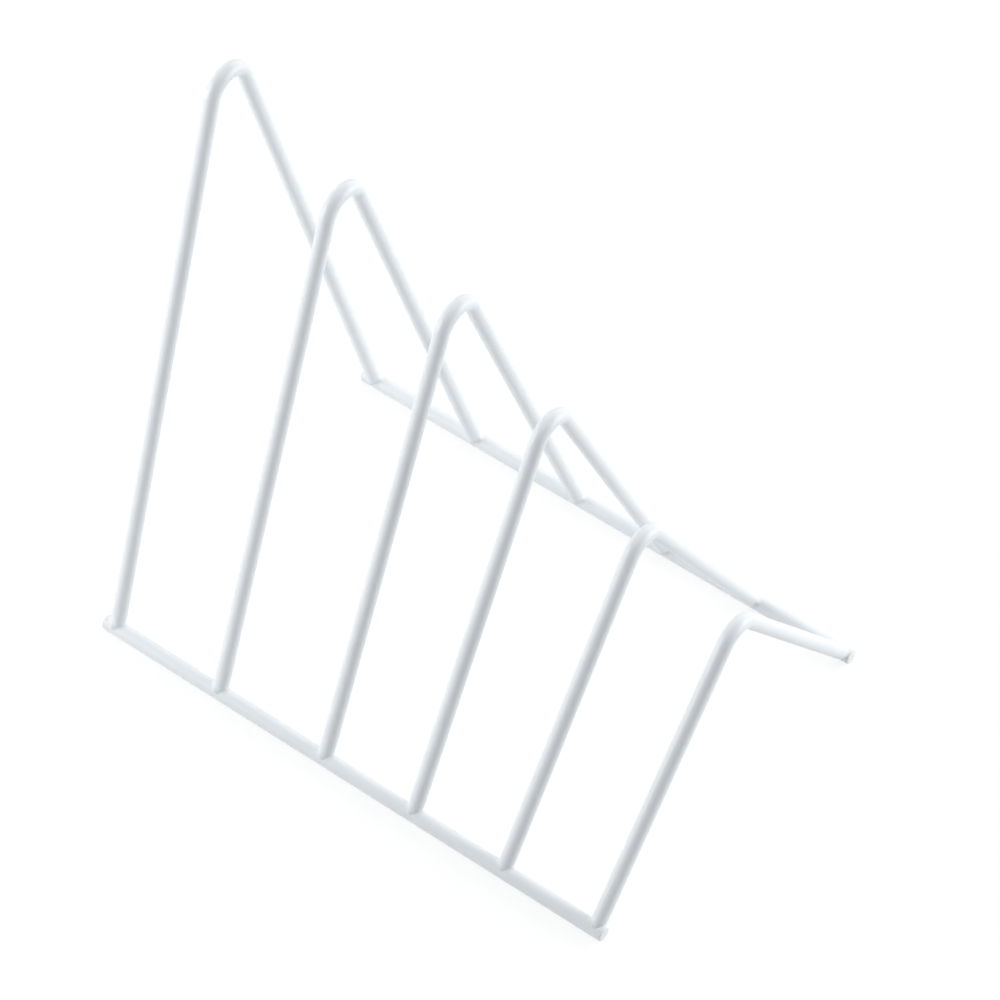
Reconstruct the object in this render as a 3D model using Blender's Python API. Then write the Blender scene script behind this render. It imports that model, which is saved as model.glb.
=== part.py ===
"""Wire book stand: bent wire hoops of falling height, welded upright across two straight base rails.

Metres, +Z up. The desk is Z = 0 and the origin lies under the middle of the stand. The rails run along X,
the tallest hoop stands at the -X end and the front rail lies on the -Y side. Books stand between the hoops,
on the rails.
"""
import math
from itertools import accumulate

import bmesh
import bpy
from mathutils import Matrix, Vector

# Base rails
RAIL_SPACING = 0.130           # between the two rails' axes
RAIL_DIAMETER = 0.005
RAIL_END_ROUND = 0.0005        # radius of the rounded edge of a rail's end
MOST_END_ROUND = 0.9           # of the rail's radius, so that an end keeps a flat
TALL_END_OVERHANG = 0.0046     # rail past the axis of the tallest hoop
SHORT_END_OVERHANG = 0.0034    # rail past the axis of the shortest hoop

# Hoop heights, from the desk to the top of the bend, numbered from the tall end to the short end
HOOP_1_HEIGHT = 0.1955
HOOP_2_HEIGHT = 0.1725
HOOP_3_HEIGHT = 0.1515
HOOP_4_HEIGHT = 0.1260
HOOP_5_HEIGHT = 0.0990
HOOP_6_HEIGHT = 0.0835

# Hoops
WIDE_SLOT_PITCH = 0.0413       # between hoops at the tall end, for thick books
NARROW_SLOT_PITCH = 0.0340     # between the other hoops
WIDE_SLOTS = 2
HOOP_WIRE_DIAMETER = 0.005
BEND_INSIDE_RADIUS = 0.005
LEG_TIP_DIAMETER = 0.0044      # legs are drawn in a little where they are welded
LEG_TIP_TAPER = 0.0020

# Welds
WELD_THICKNESS = 0.0006        # between the rail and the leg's tip
WELD_TOE = 0.0006              # reach of a weld on the rail beyond the leg's tip
WELD_RIM = 0.0002              # thickness of the weld's edge on the rail

# Clearance that keeps the welded pieces separate solids
TOUCH_GAP = 0.0003

# Facets
WIRE_FACETS = 16
BEND_STEPS = 12
RAIL_END_STEPS = 3
SADDLE_RINGS = 3
WELD_FILLET_STEPS = 4
SMOOTH_ANGLE = math.radians(40)

# White powder coat: colour, roughness, metallic
COATS = {
    "hoop": ((0.84, 0.87, 0.89), 0.42, 0.0),
    "rail": ((0.84, 0.87, 0.89), 0.42, 0.0),
    "weld": ((0.84, 0.87, 0.89), 0.50, 0.0),
}

# Sizes that follow from those above
FLAT_TO_CORNER = 1 / math.cos(math.pi / WIRE_FACETS)
RING_TURNS = [2 * math.pi * (k + 0.5) / WIRE_FACETS for k in range(WIRE_FACETS)]
RAIL_RADIUS = RAIL_DIAMETER / 2
HOOP_RADIUS = HOOP_WIRE_DIAMETER / 2
TIP_CORNER = LEG_TIP_DIAMETER / 2 * FLAT_TO_CORNER     # from a leg's axis to the corners of its tip
BEND_RADIUS = BEND_INSIDE_RADIUS + HOOP_RADIUS
HALF_SPACING = RAIL_SPACING / 2
WELD_SEAT = RAIL_RADIUS * FLAT_TO_CORNER + TOUCH_GAP   # from the rail's axis to the weld's underside
WELD_TOP = WELD_SEAT + WELD_THICKNESS                  # from the rail's axis to the weld's top
LEG_START = WELD_TOP + TOUCH_GAP                       # from the rail's axis to the leg's tip
HOOP_HEIGHTS = (HOOP_1_HEIGHT, HOOP_2_HEIGHT, HOOP_3_HEIGHT, HOOP_4_HEIGHT, HOOP_5_HEIGHT, HOOP_6_HEIGHT)
SLOT_PITCHES = [
    WIDE_SLOT_PITCH if slot < WIDE_SLOTS else NARROW_SLOT_PITCH
    for slot in range(len(HOOP_HEIGHTS) - 1)
]
RAIL_LENGTH = TALL_END_OVERHANG + sum(SLOT_PITCHES) + SHORT_END_OVERHANG
HOOP_POSITIONS = list(accumulate(SLOT_PITCHES, initial=TALL_END_OVERHANG - RAIL_LENGTH / 2))  # along X


def clear_scene():
    for obj in list(bpy.data.objects):
        bpy.data.objects.remove(obj)


def coat(kind):
    """Powder coat of one kind of piece."""
    colour, roughness, metallic = COATS[kind]
    material = bpy.data.materials.new(kind + "_coat")
    material.use_nodes = True
    shader = material.node_tree.nodes["Principled BSDF"]
    shader.inputs["Base Color"].default_value = (*colour, 1.0)
    shader.inputs["Roughness"].default_value = roughness
    shader.inputs["Metallic"].default_value = metallic
    return material


def finished_mesh(name, shape, material):
    """Mesh from a closed bmesh: faces outward, smooth but for its real edges."""
    bmesh.ops.recalc_face_normals(shape, faces=shape.faces[:])
    mesh = bpy.data.meshes.new(name)
    shape.to_mesh(mesh)
    shape.free()
    mesh.shade_smooth()
    mesh.set_sharp_from_angle(angle=SMOOTH_ANGLE)
    mesh.materials.append(material)
    return mesh


def place(name, mesh, parent, location, lean=0.0):
    """Named piece at its place on the stand, turned about X by its lean."""
    piece = bpy.data.objects.new(name, mesh)
    bpy.context.scene.collection.objects.link(piece)
    piece.parent = parent
    piece.location = location
    piece.rotation_euler = (lean, 0.0, 0.0)
    return piece


def closed_shape(start, rings, end):
    """Closed bmesh from a start point through rings of corners to an end point."""
    shape = bmesh.new()
    corners = [[shape.verts.new(point) for point in ring] for ring in rings]
    pairs = [(k, (k + 1) % WIRE_FACETS) for k in range(WIRE_FACETS)]
    for lower, upper in zip(corners, corners[1:]):
        for k, after in pairs:
            shape.faces.new((lower[k], lower[after], upper[after], upper[k]))
    for point, ring in ((start, corners[0]), (end, corners[-1])):
        middle = shape.verts.new(point)
        for k, after in pairs:
            shape.faces.new((middle, ring[k], ring[after]))
    return shape


def wire_rings(path, radii, side):
    """Rings of corners along a round wire on a flat path, mitred at each point.

    The flats of the facets lie at the given radii. side is the unit vector square to the path's plane.
    """
    rings = []
    for i, (point, radius) in enumerate(zip(path, radii)):
        leaving = (path[min(i + 1, len(path) - 1)] - path[min(i, len(path) - 2)]).normalized()
        arriving = (path[max(i, 1)] - path[max(i - 1, 0)]).normalized()
        along = (leaving + arriving).normalized()
        normal = along.cross(side) / along.dot(leaving)
        reach = radius * FLAT_TO_CORNER
        rings.append([point + reach * (math.cos(turn) * side + math.sin(turn) * normal) for turn in RING_TURNS])
    return rings


def rail_shape():
    """Straight rail along X with a flat, round-edged end at either side."""
    end_round = min(RAIL_END_ROUND, MOST_END_ROUND * RAIL_RADIUS)
    half, half_radii = [], []
    for step in range(RAIL_END_STEPS + 1):
        turn = math.pi / 2 * step / RAIL_END_STEPS
        half.append(Vector((end_round * (1 - math.cos(turn)) - RAIL_LENGTH / 2, 0.0, 0.0)))
        half_radii.append(RAIL_RADIUS - end_round * (1 - math.sin(turn)))
    path = half + [-point for point in reversed(half)]
    rings = wire_rings(path, half_radii + half_radii[::-1], Vector((0.0, 1.0, 0.0)))
    return closed_shape(path[0], rings, path[-1])


def bend_centre_height(height):
    """Height over the desk of the centre of a hoop's bend."""
    return height - HOOP_RADIUS - BEND_RADIUS


def leg_lean(height):
    """Angle from upright of a hoop's legs, which run from the rails' axes to touch the bend's circle."""
    rise = bend_centre_height(height) - RAIL_RADIUS
    return math.acos(BEND_RADIUS / math.hypot(HALF_SPACING, rise)) - math.atan2(rise, HALF_SPACING)


def saddle_rings(reach):
    """Rings of points over a leg's tip, from its middle out, on a round of the given reach about the rail.

    The rail's axis is X and the leg's is Z.
    """
    rings = []
    for ring in range(1, SADDLE_RINGS + 1):
        out = TIP_CORNER * ring / SADDLE_RINGS
        flat = [Vector((out * math.cos(turn), out * math.sin(turn), 0.0)) for turn in RING_TURNS]
        rings.append([Vector((p.x, p.y, math.sqrt(reach ** 2 - p.y ** 2))) for p in flat])
    return rings


def mirrored(point):
    """The same place on the other side of the stand's middle plane."""
    return Vector((point.x, -point.y, point.z))


def hoop_shape(height):
    """Hoop in the YZ plane: a tapered tip, a straight leg, the bend, and the same down to the other rail.

    The tips are hollowed to sit on the welds.
    """
    lean = leg_lean(height)
    leaning = Matrix.Rotation(-lean, 3, "X")
    foot = Vector((0.0, -HALF_SPACING, RAIL_RADIUS))
    tip = foot + leaning @ Vector((0.0, 0.0, LEG_START))
    taper_end = foot + leaning @ Vector((0.0, 0.0, LEG_START + LEG_TIP_TAPER))
    front_tip = [[foot + leaning @ point for point in ring] for ring in saddle_rings(LEG_START)]
    rear_tip = [[mirrored(point) for point in ring] for ring in reversed(front_tip)]
    bend = []
    for step in range(BEND_STEPS + 1):
        turn = math.pi - lean - (math.pi - 2 * lean) * step / BEND_STEPS
        z = bend_centre_height(height) + BEND_RADIUS * math.sin(turn)
        bend.append(Vector((0.0, BEND_RADIUS * math.cos(turn), z)))
    path = [taper_end, *bend, mirrored(taper_end)]
    wire = wire_rings(path, [HOOP_RADIUS] * len(path), Vector((1.0, 0.0, 0.0)))
    return closed_shape(tip, front_tip + wire + rear_tip, mirrored(tip))


def around_rail(along, wrap, reach):
    """Point at a distance from the rail's axis, in a direction turned about it from the leg's."""
    return Vector((along, reach * math.sin(wrap), reach * math.cos(wrap)))


def weld_edge(turn):
    """Place along and around the rail of a point on a weld's edge."""
    widest_wrap = math.asin(TIP_CORNER / WELD_TOP) + WELD_TOE / WELD_SEAT
    return Vector(((TIP_CORNER + WELD_TOE) * math.cos(turn), widest_wrap * math.sin(turn)))


def fillet_point(turn, inward, upward):
    """Point on a weld's hollow side, a share of the way in and up from its rim to the edge of its top."""
    top = Vector((TIP_CORNER * math.cos(turn), math.asin(TIP_CORNER * math.sin(turn) / WELD_TOP)))
    along, wrap = weld_edge(turn).lerp(top, inward)
    reach = WELD_SEAT + WELD_RIM + (WELD_TOP - WELD_SEAT - WELD_RIM) * upward
    return around_rail(along, wrap, reach)


def weld_shape():
    """Weld about the rail's axis, with the rail along X and the leg along Z.

    Its underside follows the rail's round. From a thin rim it rises in a hollow curve to a top that is as wide
    as the leg's tip and follows the same round.
    """
    rings = []
    for ring in range(1, SADDLE_RINGS + 1):
        edges = [weld_edge(turn) * ring / SADDLE_RINGS for turn in RING_TURNS]
        rings.append([around_rail(along, wrap, WELD_SEAT) for along, wrap in edges])
    for step in range(WELD_FILLET_STEPS):
        climb = math.pi / 2 * step / WELD_FILLET_STEPS
        rings.append([fillet_point(turn, math.sin(climb), 1 - math.cos(climb)) for turn in RING_TURNS])
    rings += reversed(saddle_rings(WELD_TOP))
    return closed_shape(around_rail(0.0, 0.0, WELD_SEAT), rings, around_rail(0.0, 0.0, WELD_TOP))


def main():
    clear_scene()
    coats = {kind: coat(kind) for kind in COATS}
    stand = bpy.data.objects.new("book_stand", None)
    bpy.context.scene.collection.objects.link(stand)

    rails = {"front": -HALF_SPACING, "rear": HALF_SPACING}
    rail_mesh = finished_mesh("rail", rail_shape(), coats["rail"])
    weld_mesh = finished_mesh("weld", weld_shape(), coats["weld"])
    for side, y in rails.items():
        place(side + "_rail", rail_mesh, stand, (0.0, y, RAIL_RADIUS))

    for number, (x, height) in enumerate(zip(HOOP_POSITIONS, HOOP_HEIGHTS), start=1):
        hoop_mesh = finished_mesh(f"hoop_{number}", hoop_shape(height), coats["hoop"])
        place(f"hoop_{number}", hoop_mesh, stand, (x, 0.0, 0.0))
        for side, y in rails.items():
            inward_lean = math.copysign(leg_lean(height), y)
            place(f"weld_{side}_{number}", weld_mesh, stand, (x, y, RAIL_RADIUS), inward_lean)


main()
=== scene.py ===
"""Looks of the wire book stand: round powder-coated wire, welds, a pale studio and the photograph's camera.

Metres, +Z up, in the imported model's frame: the rails run along X, the tallest hoop stands at the -X end and
the front rail lies on the -Y side. Each piece replaces the solid of its name with a finely meshed one.
"""
import math
from functools import cache

import bmesh
import bpy
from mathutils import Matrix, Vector, noise


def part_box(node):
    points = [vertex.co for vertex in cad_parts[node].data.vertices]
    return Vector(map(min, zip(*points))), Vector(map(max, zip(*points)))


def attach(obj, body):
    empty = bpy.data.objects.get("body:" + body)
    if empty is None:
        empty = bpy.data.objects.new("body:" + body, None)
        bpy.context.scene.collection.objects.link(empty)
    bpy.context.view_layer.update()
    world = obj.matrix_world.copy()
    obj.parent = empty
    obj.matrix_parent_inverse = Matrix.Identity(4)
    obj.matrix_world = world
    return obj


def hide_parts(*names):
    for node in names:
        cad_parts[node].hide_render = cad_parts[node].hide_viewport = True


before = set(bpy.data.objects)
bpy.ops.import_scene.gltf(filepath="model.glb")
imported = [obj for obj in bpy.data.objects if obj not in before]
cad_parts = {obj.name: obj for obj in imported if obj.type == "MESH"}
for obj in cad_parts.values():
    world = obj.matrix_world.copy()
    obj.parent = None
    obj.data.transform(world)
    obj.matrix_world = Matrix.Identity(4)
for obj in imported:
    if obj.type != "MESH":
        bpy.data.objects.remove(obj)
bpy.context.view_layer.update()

HOOPS = range(1, 7)
SIDES = ("front", "rear")
ALONG_RAILS = Vector((1.0, 0.0, 0.0))
ACROSS_RAILS = Vector((0.0, 1.0, 0.0))

# Wire
WIRE_FACETS = 48
RING_STEP = 0.004              # between rings along a straight wire
BEND_INSIDE_RADIUS = 0.005
BEND_STEPS = 36
BEND_FLATTENING = 0.03         # share by which a bend is thinner in its plane and wider across it
COAT_SWELL = 0.00003           # most that the coat's thickness falls short of its nominal value
COAT_SWELLS_PER_METRE = 90.0
RAIL_END_ROUND = 0.0005
RAIL_END_CROWN = 0.00015       # bulge of a rail's end face
RAIL_END_LENGTH = RAIL_END_CROWN + RAIL_END_ROUND    # from a rail's end to its full width
RAIL_END_STEPS = 8

# Tips of the hoops' legs, drawn in a little, with distances from the rail's axis along the leg
LEG_START = 0.0005             # inside the rail
TIP_START = 0.0030
TIP_END = 0.0065               # from here the leg has its full width
TIP_WIDTH = 0.0048             # along the rail
TIP_DEPTH = 0.0048             # across the rail
TIP_STEPS = 10

# Welds between the legs and the rails
WELD_TOE = 0.0013              # reach of a weld along the rail, beyond the leg
WELD_WRAP = math.radians(164)  # of the rail's round, under a weld
WELD_RISE = 0.0012             # height of the weld's top above the rail, on the sides along the rail
WELD_FLUSH_RISE = 0.0003       # and in front and behind, where the leg runs nearly flush into the rail
WELD_BITE = 0.0002             # depth of the weld's top inside the leg
WELD_SINK = 0.0003             # depth of the weld's edge inside the rail
WELD_FACETS = 48
WELD_SIDE_STEPS = 14
WELD_LUMPS = 0.00007           # height of the lumps on a weld's side
WELD_LUMPS_PER_METRE = 900.0

# Powder coat
COAT_WHITE = (0.84, 0.87, 0.89)
CLOUD_SHADE = 0.975            # brightness of the coat's darker clouds, as a share of its white
HOOP_ROUGHNESS = 0.40
RAIL_ROUGHNESS = 0.43
WELD_ROUGHNESS = 0.50
ROUGHNESS_SPREAD = 0.06        # to either side of these
CLEAR_LAYER = 0.12             # weight of the glossier skin on the coat
CLEAR_LAYER_ROUGHNESS = 0.28
REFRACTIVE_INDEX = 1.5
PEEL_DEPTH = 0.00003           # of the orange peel
PEEL_STRENGTH = 0.6
GRAIN_DEPTH = 0.000006         # of the fine grain on it
GRAIN_STRENGTH = 0.4

# Rubbed coat
RUBBED_GREY = (0.58, 0.59, 0.60)
RUBBED_SHARE = 0.9             # most grey where the coat is rubbed
RUBBED_REST_REACH = 0.00035    # height of the rubbed strip under a rail
RUBBED_END_REACH = 0.0009      # length of the rubbed rim at a rail's end
RUBBED_END = 0.15              # how rubbed that rim is, where the strip under a rail is 1

# Noise textures of the coat, as scale per metre and detail
CLOUDS = (28.0, 2.0)
UNEVEN_GLOSS = (330.0, 3.0)
ORANGE_PEEL = (800.0, 1.5)
RUBBED_SPOTS = (900.0, 4.0)
FINE_GRAIN = (5200.0, 2.0)
NOISE_SPAN = (0.30, 0.70)      # where most of a texture's values lie
SPOT_SPAN = (0.45, 0.60)       # values at which a rubbed spot starts and at which it is full

# Camera, from the photograph
CAMERA_TARGET = Vector((0.0074, 0.0, 0.0755))
CAMERA_DISTANCE = 1.262
CAMERA_AZIMUTH = math.radians(36.28)
CAMERA_ELEVATION = math.radians(50.16)
CAMERA_ROLL = math.radians(1.046)
FOCAL_LENGTH_PIXELS = 4248.0
FRAME_PIXELS = 1000.0
SENSOR_MM = 36.0
CLIP_START = 0.01

# Studio
FLOOR_HALF = 3.0
FLOOR_WHITE = 0.97
FLOOR_GLOW = 0.80              # brightness of the floor that the camera sees without lamps
FLOOR_SHADE = 0.24             # and the part that the lamps add where nothing shades it
FLOOR_FADE = (0.35, 0.60)      # from the middle, where its shading starts to fade and where it is plain white
AMBIENT = (0.19, 0.20, 0.215)
LAMP_TARGET = Vector((0.0, 0.0, 0.06))
LAMPS = {                      # azimuth from +X towards +Y and elevation in degrees, distance, size, watts
    "left_softbox": (221.0, 20.0, 0.75, 0.5, 3.1),
    "rear_right_softbox": (41.0, 20.0, 1.1, 0.8, 7.8),
    "rear_softbox": (102.0, 30.0, 1.1, 0.8, 3.1),
    "rear_left_softbox": (160.0, 30.0, 1.1, 0.8, 1.6),
    "overhead_softbox": (270.0, 89.0, 1.1, 0.8, 2.8),
}


@cache
def box(node):
    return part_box(node)


def rail_axis(side):
    """Middle of a rail."""
    low, high = box(side + "_rail")
    return (low + high) / 2


def rail_radius():
    low, high = box("front_rail")
    return (high.y - low.y) / 2


def hoop_radius(number):
    low, high = box(f"hoop_{number}")
    return (high.x - low.x) / 2


def bend_radius(number):
    """From the centre of a hoop's bend to the middle of its wire."""
    return BEND_INSIDE_RADIUS + hoop_radius(number)


def bend_centre(number):
    low, high = box(f"hoop_{number}")
    return Vector(((low.x + high.x) / 2, 0.0, high.z - hoop_radius(number) - bend_radius(number)))


def leg_lean(number):
    """Angle from upright of a hoop's legs, which run from the rails' axes to touch the bend's circle."""
    rise = bend_centre(number).z - rail_axis("rear").z
    half_span = rail_axis("rear").y
    return math.acos(bend_radius(number) / math.hypot(half_span, rise)) - math.atan2(rise, half_span)


def leg_direction(side, number):
    """Unit vector up a leg."""
    lean = leg_lean(number)
    return Vector((0.0, math.sin(lean) if side == "front" else -math.sin(lean), math.cos(lean)))


def foot(side, number):
    """Where a leg's axis meets the rail's."""
    axis = rail_axis(side)
    return Vector((bend_centre(number).x, axis.y, axis.z))


def smooth_step(value, start, end):
    """0 before the start, 1 after the end, and a smooth rise between them."""
    share = min(max((value - start) / (end - start), 0.0), 1.0)
    return share * share * (3 - 2 * share)


def rubbed(point):
    """How rubbed the coat is: 1 where a rail rests on the desk, less on its ends' rims, and 0 elsewhere."""
    low, high = box("front_rail")
    rest = 1 - smooth_step(point.z, 0.0, RUBBED_REST_REACH)
    rim = 1 - smooth_step(min(point.x - low.x, high.x - point.x), 0.0, RUBBED_END_REACH)
    return max(rest, RUBBED_END * rim)


def add_piece(name, shape, material, node):
    """Smooth piece from a closed bmesh, riding on the stand in the place of one solid."""
    bmesh.ops.recalc_face_normals(shape, faces=shape.faces[:])
    mesh = bpy.data.meshes.new(name)
    shape.to_mesh(mesh)
    shape.free()
    mesh.shade_smooth()
    layer = mesh.attributes.new("rubbed", "FLOAT", "POINT")
    layer.data.foreach_set("value", [rubbed(v.co) for v in mesh.vertices])
    mesh.materials.append(material)
    piece = bpy.data.objects.new(name, mesh)
    bpy.context.scene.collection.objects.link(piece)
    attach(piece, "root")
    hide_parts(node)


def join_rings(shape, rings):
    """Quads between neighbouring rings of corners."""
    for lower, upper in zip(rings, rings[1:]):
        for k in range(len(lower)):
            after = (k + 1) % len(lower)
            shape.faces.new((lower[k], lower[after], upper[after], upper[k]))


def close_ring(shape, ring, middle):
    """Fan of triangles from a ring to its middle."""
    tip = shape.verts.new(middle)
    for k in range(len(ring)):
        shape.faces.new((tip, ring[k], ring[(k + 1) % len(ring)]))


def full_turn(facets):
    return [2 * math.pi * k / facets for k in range(facets)]


def swept_wire(stations, side, crown=0.0):
    """Wire through stations of (middle, direction, half width, half depth).

    Its width lies along the unit vector side. The coat's thickness varies a little along it, and its ends
    bulge by the crown.
    """
    shape = bmesh.new()
    rings = []
    for middle, along, half_width, half_depth in stations:
        missing = COAT_SWELL * (0.5 + 0.5 * noise.noise(middle * COAT_SWELLS_PER_METRE))
        wide = (half_width - missing) * side
        deep = (half_depth - missing) * along.cross(side)
        rings.append([shape.verts.new(middle + wide * math.cos(t) + deep * math.sin(t))
                      for t in full_turn(WIRE_FACETS)])
    join_rings(shape, rings)
    first, last = stations[0], stations[-1]
    close_ring(shape, rings[0], first[0] - first[1] * crown)
    close_ring(shape, rings[-1], last[0] + last[1] * crown)
    return shape


def spread(start, end):
    """Places between a start and an end, about a ring step apart."""
    count = round((end - start) / RING_STEP)
    return [start + (end - start) * step / count for step in range(1, count)]


def rail_shape(side):
    """Straight rail with rounded, slightly bulging ends."""
    low, high = box(side + "_rail")
    axis = rail_axis(side)
    ends = []
    for step in range(RAIL_END_STEPS + 1):
        turn = math.pi / 2 * step / RAIL_END_STEPS
        inset = RAIL_END_CROWN + RAIL_END_ROUND * (1 - math.cos(turn))
        ends.append((inset, rail_radius() - RAIL_END_ROUND * (1 - math.sin(turn))))
    places = [(low.x + inset, radius) for inset, radius in ends]
    places += [(x, rail_radius()) for x in spread(low.x + RAIL_END_LENGTH, high.x - RAIL_END_LENGTH)]
    places += [(high.x - inset, radius) for inset, radius in reversed(ends)]
    stations = [(Vector((x, axis.y, axis.z)), ALONG_RAILS, radius, radius) for x, radius in places]
    return swept_wire(stations, ACROSS_RAILS, RAIL_END_CROWN)


def front_leg_stations(number):
    """Stations of a hoop's front leg, from its tip in the rail to the start of the bend."""
    start, along = foot("front", number), leg_direction("front", number)
    radius = hoop_radius(number)
    length = (bend_centre(number) - start).dot(along)
    tip = [TIP_START + (TIP_END - TIP_START) * step / TIP_STEPS for step in range(TIP_STEPS + 1)]
    stations = []
    for distance in [LEG_START, *tip, *spread(TIP_END, length)]:
        share = smooth_step(distance, TIP_START, TIP_END)
        half_width = TIP_WIDTH / 2 + (radius - TIP_WIDTH / 2) * share
        half_depth = TIP_DEPTH / 2 + (radius - TIP_DEPTH / 2) * share
        stations.append((start + along * distance, along, half_width, half_depth))
    return stations


def bend_stations(number):
    """Stations of a hoop's bend, over the top from front to rear."""
    lean = leg_lean(number)
    stations = []
    for step in range(BEND_STEPS + 1):
        share = step / BEND_STEPS
        turn = math.pi - lean - (math.pi - 2 * lean) * share
        out = Vector((0.0, math.cos(turn), math.sin(turn)))
        along = Vector((0.0, math.sin(turn), -math.cos(turn)))
        middle = bend_centre(number) + bend_radius(number) * out
        flattening = BEND_FLATTENING * math.sin(math.pi * share) ** 2
        radius = hoop_radius(number)
        stations.append((middle, along, radius * (1 + flattening), radius * (1 - flattening)))
    return stations


def hoop_shape(number):
    """Hoop: the front leg, the bend, and the front leg's mirror image down to the rear rail."""
    front = front_leg_stations(number)
    rear = []
    for middle, along, half_width, half_depth in reversed(front):
        mirrored = Vector((middle.x, -middle.y, middle.z))
        rear.append((mirrored, Vector((0.0, along.y, -along.z)), half_width, half_depth))
    return swept_wire(front + bend_stations(number) + rear, ALONG_RAILS)


def weld_reach(number, way):
    """Reach of a weld from its leg's axis, along the rail for a positive way and back for a negative one.

    It stops where the rail's end begins to round.
    """
    low, high = box("front_rail")
    place = bend_centre(number).x
    room = high.x - place if way > 0 else place - low.x
    return min(TIP_WIDTH / 2 + WELD_TOE, room - RAIL_END_LENGTH)


def weld_point(number, turn, inward, upward):
    """Point on a weld's hollow side, partway in and up from its edge on the rail to its top in the leg.

    Here the rail's axis is X, the leg's axis is Z and they meet at the origin.
    """
    edge_along = weld_reach(number, math.cos(turn)) * math.cos(turn)
    edge_wrap = WELD_WRAP / 2 * math.sin(turn)
    top_along = (TIP_WIDTH / 2 - WELD_BITE) * math.cos(turn)
    top_across = (TIP_DEPTH / 2 - WELD_BITE) * math.sin(turn)
    rise = WELD_FLUSH_RISE + (WELD_RISE - WELD_FLUSH_RISE) * math.cos(turn) ** 2
    top_height = math.sqrt(rail_radius() ** 2 - top_across ** 2) + rise
    along = edge_along + (top_along - edge_along) * inward
    wrap = edge_wrap + (math.atan2(top_across, top_height) - edge_wrap) * inward
    edge_reach = rail_radius() - COAT_SWELL
    reach = edge_reach + (math.hypot(top_across, top_height) - edge_reach) * upward
    return Vector((along, reach * math.sin(wrap), reach * math.cos(wrap)))


def weld_shape(side, number):
    """Lumpy weld that fills the corner between a rail and a leg's tip, its edge sunk into the rail."""
    origin, up = foot(side, number), leg_direction(side, number)
    across = up.cross(ALONG_RAILS)
    shape = bmesh.new()
    turns = full_turn(WELD_FACETS)

    def placed(local, lumpiness):
        point = origin + ALONG_RAILS * local.x + across * local.y + up * local.z
        lump = WELD_LUMPS * lumpiness * noise.noise(point * WELD_LUMPS_PER_METRE)
        return shape.verts.new(point + lump * (point - origin).normalized())

    sunk = 1 - WELD_SINK / rail_radius()
    rings = [[placed(weld_point(number, t, 0.0, 0.0) * sunk, 0.0) for t in turns]]
    for step in range(WELD_SIDE_STEPS + 1):
        climb = math.pi / 2 * step / WELD_SIDE_STEPS
        inward, upward, lumpiness = math.sin(climb), 1 - math.cos(climb), math.sin(2 * climb)
        rings.append([placed(weld_point(number, t, inward, upward), lumpiness) for t in turns])
    join_rings(shape, rings)
    close_ring(shape, rings[0], origin)
    close_ring(shape, rings[-1], origin + up * (rail_radius() + WELD_RISE))
    return shape


def add_node(tree, kind, **values):
    """Shader node with its sockets set by name, such as from_min for From Min."""
    node = tree.nodes.new("ShaderNode" + kind)
    for name, value in values.items():
        node.inputs[name.replace("_", " ").title()].default_value = value
    return node


def powder_coat(name, roughness):
    """Satin white powder coat: a little cloudy, with orange peel, and rubbed where the stand rests."""
    material = bpy.data.materials.new(name)
    material.use_nodes = True
    tree = material.node_tree
    link = tree.links.new
    place = tree.nodes.new("ShaderNodeTexCoord").outputs["Object"]

    def noise_at(scale, detail):
        texture = add_node(tree, "TexNoise", scale=scale, detail=detail)
        link(place, texture.inputs["Vector"])
        return texture.outputs["Fac"]

    def ranged(value, low, high, span=NOISE_SPAN):
        mapped = add_node(tree, "MapRange", from_min=span[0], from_max=span[1], to_min=low, to_max=high)
        link(value, mapped.inputs["Value"])
        return mapped.outputs["Result"]

    def mixed(share, first, second):
        mix = tree.nodes.new("ShaderNodeMix")
        mix.data_type = "RGBA"
        link(share, mix.inputs["Factor"])
        for socket, colour in (("A_Color", first), ("B_Color", second)):
            target = next(s for s in mix.inputs if s.identifier == socket)
            if isinstance(colour, tuple):
                target.default_value = (*colour, 1.0)
            else:
                link(colour, target)
        return next(s for s in mix.outputs if s.identifier == "Result_Color")

    def product(first, second):
        multiply = tree.nodes.new("ShaderNodeMath")
        multiply.operation = "MULTIPLY"
        link(first, multiply.inputs[0])
        link(second, multiply.inputs[1])
        return multiply.outputs["Value"]

    rubbed_here = tree.nodes.new("ShaderNodeAttribute")
    rubbed_here.attribute_name = "rubbed"
    spots = ranged(noise_at(*RUBBED_SPOTS), 0.0, RUBBED_SHARE, SPOT_SPAN)
    worn = product(rubbed_here.outputs["Fac"], spots)
    darker = tuple(CLOUD_SHADE * part for part in COAT_WHITE)
    cloudy = mixed(ranged(noise_at(*CLOUDS), 0.0, 1.0), darker, COAT_WHITE)
    colour = mixed(worn, cloudy, RUBBED_GREY)

    peel = add_node(tree, "Bump", strength=PEEL_STRENGTH, distance=PEEL_DEPTH)
    link(noise_at(*ORANGE_PEEL), peel.inputs["Height"])
    grain = add_node(tree, "Bump", strength=GRAIN_STRENGTH, distance=GRAIN_DEPTH)
    link(noise_at(*FINE_GRAIN), grain.inputs["Height"])
    link(peel.outputs["Normal"], grain.inputs["Normal"])

    smoothest, roughest = roughness - ROUGHNESS_SPREAD, roughness + ROUGHNESS_SPREAD
    shader = tree.nodes["Principled BSDF"]
    shader.inputs["IOR"].default_value = REFRACTIVE_INDEX
    shader.inputs["Coat Weight"].default_value = CLEAR_LAYER
    shader.inputs["Coat Roughness"].default_value = CLEAR_LAYER_ROUGHNESS
    link(colour, shader.inputs["Base Color"])
    link(ranged(noise_at(*UNEVEN_GLOSS), smoothest, roughest), shader.inputs["Roughness"])
    link(grain.outputs["Normal"], shader.inputs["Normal"])
    return material


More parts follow.
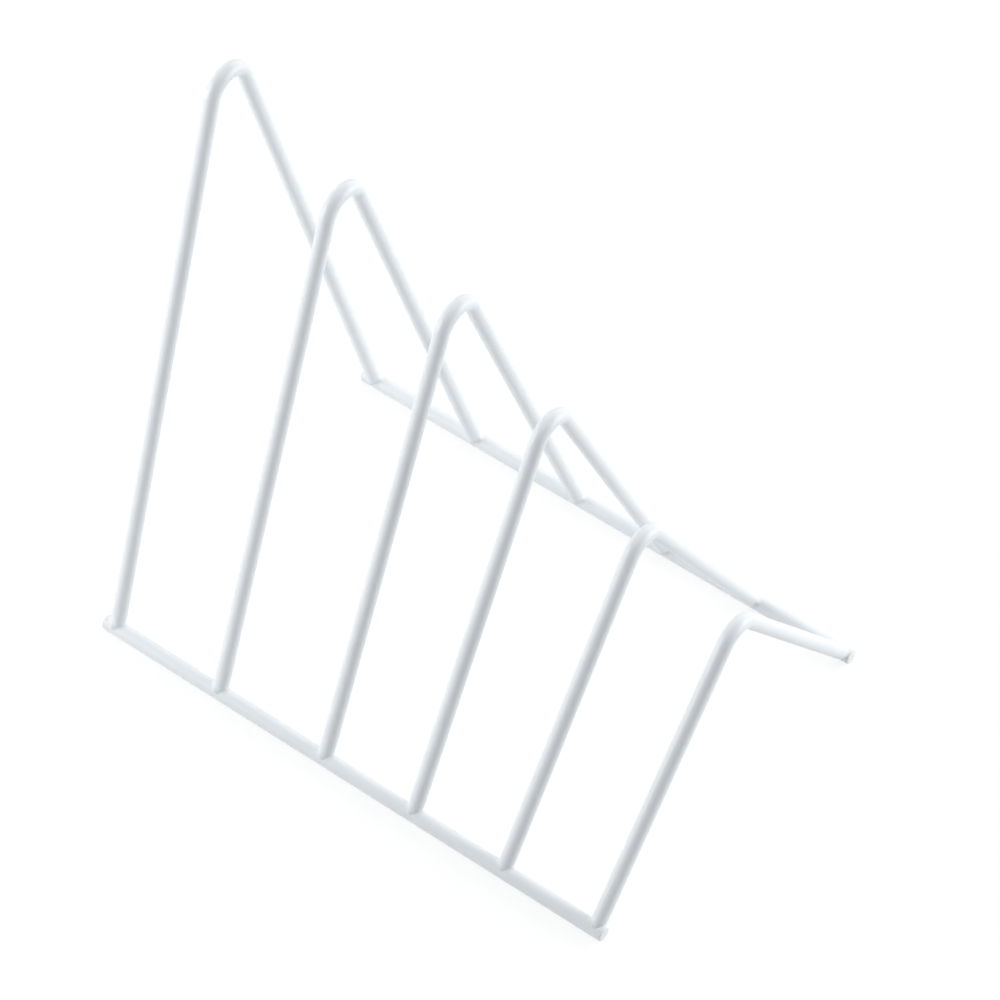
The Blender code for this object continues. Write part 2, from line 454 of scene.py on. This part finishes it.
def build_stand():
    hoop_coat = powder_coat("hoop_powder_coat", HOOP_ROUGHNESS)
    rail_coat = powder_coat("rail_powder_coat", RAIL_ROUGHNESS)
    weld_coat = powder_coat("weld_powder_coat", WELD_ROUGHNESS)
    for side in SIDES:
        add_piece(side + "_rail_wire", rail_shape(side), rail_coat, side + "_rail")
    for number in HOOPS:
        add_piece(f"hoop_wire_{number}", hoop_shape(number), hoop_coat, f"hoop_{number}")
        for side in SIDES:
            node = f"weld_{side}_{number}"
            add_piece(node + "_bead", weld_shape(side, number), weld_coat, node)


def add_camera():
    camera = bpy.data.objects.new("camera", bpy.data.cameras.new("camera"))
    bpy.context.scene.collection.objects.link(camera)
    camera.data.sensor_width = SENSOR_MM
    camera.data.lens = SENSOR_MM * FOCAL_LENGTH_PIXELS / FRAME_PIXELS
    camera.data.clip_start = CLIP_START
    level = math.cos(CAMERA_ELEVATION)
    height = math.sin(CAMERA_ELEVATION)
    back = Vector((math.sin(CAMERA_AZIMUTH) * level, -math.cos(CAMERA_AZIMUTH) * level, height))
    camera.location = CAMERA_TARGET + back * CAMERA_DISTANCE
    camera.rotation_euler = (-back).to_track_quat("-Z", "Y").to_euler()
    camera.rotation_euler.rotate_axis("Z", CAMERA_ROLL)
    bpy.context.scene.camera = camera


def seen_directly(tree):
    """1 for rays from the camera, a glossy surface or a clear one, and 0 for those that carry light."""
    path = tree.nodes.new("ShaderNodeLightPath")
    seen = path.outputs["Is Camera Ray"]
    for kind in ("Is Glossy Ray", "Is Transmission Ray"):
        either = tree.nodes.new("ShaderNodeMath")
        either.operation = "MAXIMUM"
        tree.links.new(seen, either.inputs[0])
        tree.links.new(path.outputs[kind], either.inputs[1])
        seen = either.outputs["Value"]
    return seen


def mixed_shaders(tree, share, first, second):
    """Mix of two nodes' shaders, with the second one's share from a socket."""
    mix = tree.nodes.new("ShaderNodeMixShader")
    tree.links.new(share, mix.inputs["Fac"])
    tree.links.new(first.outputs[0], mix.inputs[1])
    tree.links.new(second.outputs[0], mix.inputs[2])
    return mix


def add_floor():
    """White floor that keeps a faint shadow around the stand."""
    mesh = bpy.data.meshes.new("floor")
    corners = [(x * FLOOR_HALF, y * FLOOR_HALF, 0.0) for x, y in ((-1, -1), (1, -1), (1, 1), (-1, 1))]
    mesh.from_pydata(corners, [], [(0, 1, 2, 3)])
    floor = bpy.data.objects.new("floor", mesh)
    bpy.context.scene.collection.objects.link(floor)
    material = bpy.data.materials.new("white_floor")
    material.use_nodes = True
    material.cycles.emission_sampling = "NONE"
    mesh.materials.append(material)
    tree = material.node_tree
    tree.nodes.clear()
    lit = add_node(tree, "BsdfDiffuse", color=(FLOOR_WHITE, FLOOR_WHITE, FLOOR_WHITE, 1.0))
    shadowed = add_node(tree, "BsdfDiffuse", color=(FLOOR_SHADE, FLOOR_SHADE, FLOOR_SHADE, 1.0))
    glow = add_node(tree, "Emission", color=(FLOOR_GLOW, FLOOR_GLOW, FLOOR_GLOW, 1.0), strength=1.0)
    both = tree.nodes.new("ShaderNodeAddShader")
    tree.links.new(shadowed.outputs["BSDF"], both.inputs[0])
    tree.links.new(glow.outputs["Emission"], both.inputs[1])
    white = add_node(tree, "Emission", color=(1.0, 1.0, 1.0, 1.0), strength=1.0)
    distance = tree.nodes.new("ShaderNodeVectorMath")
    distance.operation = "LENGTH"
    tree.links.new(tree.nodes.new("ShaderNodeTexCoord").outputs["Object"], distance.inputs[0])
    fade = add_node(tree, "MapRange", from_min=FLOOR_FADE[0], from_max=FLOOR_FADE[1])
    fade.interpolation_type = "SMOOTHSTEP"
    tree.links.new(distance.outputs["Value"], fade.inputs["Value"])
    seen = mixed_shaders(tree, fade.outputs["Result"], both, white)
    surface = mixed_shaders(tree, seen_directly(tree), lit, seen)
    output = tree.nodes.new("ShaderNodeOutputMaterial")
    tree.links.new(surface.outputs["Shader"], output.inputs["Surface"])


def add_world():
    """White to look at, and a dimmer, slightly cool light from all around."""
    world = bpy.data.worlds.new("studio")
    bpy.context.scene.world = world
    world.use_nodes = True
    tree = world.node_tree
    ambient = tree.nodes["Background"]
    ambient.inputs["Color"].default_value = (*AMBIENT, 1.0)
    white = add_node(tree, "Background", color=(1.0, 1.0, 1.0, 1.0), strength=1.0)
    surface = mixed_shaders(tree, seen_directly(tree), ambient, white)
    tree.links.new(surface.outputs["Shader"], tree.nodes["World Output"].inputs["Surface"])


def softbox(name, azimuth, elevation, distance, size, watts):
    """Square lamp that faces the stand and isn't seen itself."""
    lamp = bpy.data.lights.new(name, "AREA")
    lamp.size = size
    lamp.energy = watts
    light = bpy.data.objects.new(name, lamp)
    bpy.context.scene.collection.objects.link(light)
    turn = math.radians(azimuth)
    level = math.cos(math.radians(elevation))
    height = math.sin(math.radians(elevation))
    away = Vector((math.cos(turn) * level, math.sin(turn) * level, height))
    light.location = LAMP_TARGET + away * distance
    light.rotation_euler = away.to_track_quat("Z", "Y").to_euler()
    light.visible_camera = False


bpy.context.scene.view_settings.view_transform = "Standard"
build_stand()
add_floor()
add_world()
for lamp_name, lamp_values in LAMPS.items():
    softbox(lamp_name, *lamp_values)
add_camera()
